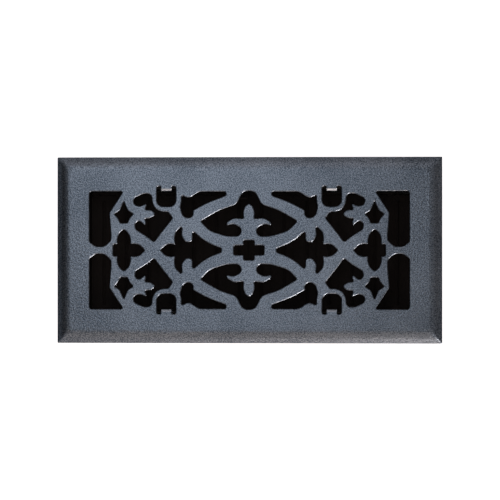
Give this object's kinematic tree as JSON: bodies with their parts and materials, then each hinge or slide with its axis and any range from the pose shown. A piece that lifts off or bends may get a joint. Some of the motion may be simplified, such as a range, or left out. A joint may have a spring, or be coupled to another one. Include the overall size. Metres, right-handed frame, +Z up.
{
  "type": "floor register",
  "caption": "Rectangular steel floor register: bevelled face pierced with a Gothic tracery pattern, over a damper box with a row of linked shutters.",
  "frame": {"origin": "under the middle of the face, in the plane of the floor that the rim rests on", "axes": "+X along the face's length, +Y across it towards the linkage side, +Z up out of the floor"},
  "size_m": [0.2888, 0.1396, 0.0368],
  "materials": {
    "faceplate_coat": "sand-texture powder coat",
    "damper_paint": "satin black paint"
  },
  "bodies": {
    "frame": {"faceplate": "faceplate_coat", "side_wall_front": "damper_paint", "side_wall_rear": "damper_paint", "end_wall_left": "damper_paint", "end_wall_right": "damper_paint"},
    "shutter_01_body": {"shutter_01": "damper_paint"},
    "shutter_02_body": {"shutter_02": "damper_paint"},
    "shutter_03_body": {"shutter_03": "damper_paint"},
    "shutter_04_body": {"shutter_04": "damper_paint"},
    "shutter_05_body": {"shutter_05": "damper_paint"},
    "shutter_06_body": {"shutter_06": "damper_paint"},
    "shutter_07_body": {"shutter_07": "damper_paint"},
    "shutter_08_body": {"shutter_08": "damper_paint"},
    "shutter_09_body": {"shutter_09": "damper_paint"},
    "shutter_10_body": {"shutter_10": "damper_paint"},
    "shutter_11_body": {"shutter_11": "damper_paint"},
    "shutter_12_body": {"shutter_12": "damper_paint"},
    "shutter_13_body": {"shutter_13": "damper_paint"},
    "shutter_14_body": {"shutter_14": "damper_paint"},
    "linkage": {"link_bar": "damper_paint", "lever": "damper_paint"}
  },
  "joints": [
    {"name": "shutter_01_pivot", "type": "hinge", "parent": "frame", "child": "shutter_01_body", "pos_m": [-0.11143, 0, -0.0185], "axis": [0, 1, 0], "range_deg": [0, 86]},
    {"name": "shutter_02_pivot", "type": "hinge", "parent": "frame", "child": "shutter_02_body", "pos_m": [-0.09429, 0, -0.0185], "axis": [0, 1, 0], "range_deg": [0, 86]},
    {"name": "shutter_03_pivot", "type": "hinge", "parent": "frame", "child": "shutter_03_body", "pos_m": [-0.07714, 0, -0.0185], "axis": [0, 1, 0], "range_deg": [0, 86]},
    {"name": "shutter_04_pivot", "type": "hinge", "parent": "frame", "child": "shutter_04_body", "pos_m": [-0.06, 0, -0.0185], "axis": [0, 1, 0], "range_deg": [0, 86]},
    {"name": "shutter_05_pivot", "type": "hinge", "parent": "frame", "child": "shutter_05_body", "pos_m": [-0.04286, 0, -0.0185], "axis": [0, 1, 0], "range_deg": [0, 86]},
    {"name": "shutter_06_pivot", "type": "hinge", "parent": "frame", "child": "shutter_06_body", "pos_m": [-0.02571, 0, -0.0185], "axis": [0, 1, 0], "range_deg": [0, 86]},
    {"name": "shutter_07_pivot", "type": "hinge", "parent": "frame", "child": "shutter_07_body", "pos_m": [-0.00857, 0, -0.0185], "axis": [0, 1, 0], "range_deg": [0, 86]},
    {"name": "shutter_08_pivot", "type": "hinge", "parent": "frame", "child": "shutter_08_body", "pos_m": [0.00857, 0, -0.0185], "axis": [0, 1, 0], "range_deg": [0, 86]},
    {"name": "shutter_09_pivot", "type": "hinge", "parent": "frame", "child": "shutter_09_body", "pos_m": [0.02571, 0, -0.0185], "axis": [0, 1, 0], "range_deg": [0, 86]},
    {"name": "shutter_10_pivot", "type": "hinge", "parent": "frame", "child": "shutter_10_body", "pos_m": [0.04286, 0, -0.0185], "axis": [0, 1, 0], "range_deg": [0, 86]},
    {"name": "shutter_11_pivot", "type": "hinge", "parent": "frame", "child": "shutter_11_body", "pos_m": [0.06, 0, -0.0185], "axis": [0, 1, 0], "range_deg": [0, 86]},
    {"name": "shutter_12_pivot", "type": "hinge", "parent": "frame", "child": "shutter_12_body", "pos_m": [0.07714, 0, -0.0185], "axis": [0, 1, 0], "range_deg": [0, 86]},
    {"name": "shutter_13_pivot", "type": "hinge", "parent": "frame", "child": "shutter_13_body", "pos_m": [0.09429, 0, -0.0185], "axis": [0, 1, 0], "range_deg": [0, 86]},
    {"name": "shutter_14_pivot", "type": "hinge", "parent": "frame", "child": "shutter_14_body", "pos_m": [0.11143, 0, -0.0185], "axis": [0, 1, 0], "range_deg": [0, 86]},
    {"name": "link_bar_pivot", "type": "hinge", "parent": "shutter_01_body", "child": "linkage", "pos_m": [-0.11689, 0.0428, -0.01265], "axis": [0, 1, 0], "range_deg": [-86, 0]}
  ],
  "couplings": [
    {"joint": "shutter_02_pivot", "follows": "shutter_01_pivot", "ratio": 1},
    {"joint": "shutter_03_pivot", "follows": "shutter_01_pivot", "ratio": 1},
    {"joint": "shutter_04_pivot", "follows": "shutter_01_pivot", "ratio": 1},
    {"joint": "shutter_05_pivot", "follows": "shutter_01_pivot", "ratio": 1},
    {"joint": "shutter_06_pivot", "follows": "shutter_01_pivot", "ratio": 1},
    {"joint": "shutter_07_pivot", "follows": "shutter_01_pivot", "ratio": 1},
    {"joint": "shutter_08_pivot", "follows": "shutter_01_pivot", "ratio": 1},
    {"joint": "shutter_09_pivot", "follows": "shutter_01_pivot", "ratio": 1},
    {"joint": "shutter_10_pivot", "follows": "shutter_01_pivot", "ratio": 1},
    {"joint": "shutter_11_pivot", "follows": "shutter_01_pivot", "ratio": 1},
    {"joint": "shutter_12_pivot", "follows": "shutter_01_pivot", "ratio": 1},
    {"joint": "shutter_13_pivot", "follows": "shutter_01_pivot", "ratio": 1},
    {"joint": "shutter_14_pivot", "follows": "shutter_01_pivot", "ratio": 1},
    {"joint": "link_bar_pivot", "follows": "shutter_01_pivot", "ratio": -1}
  ]
}
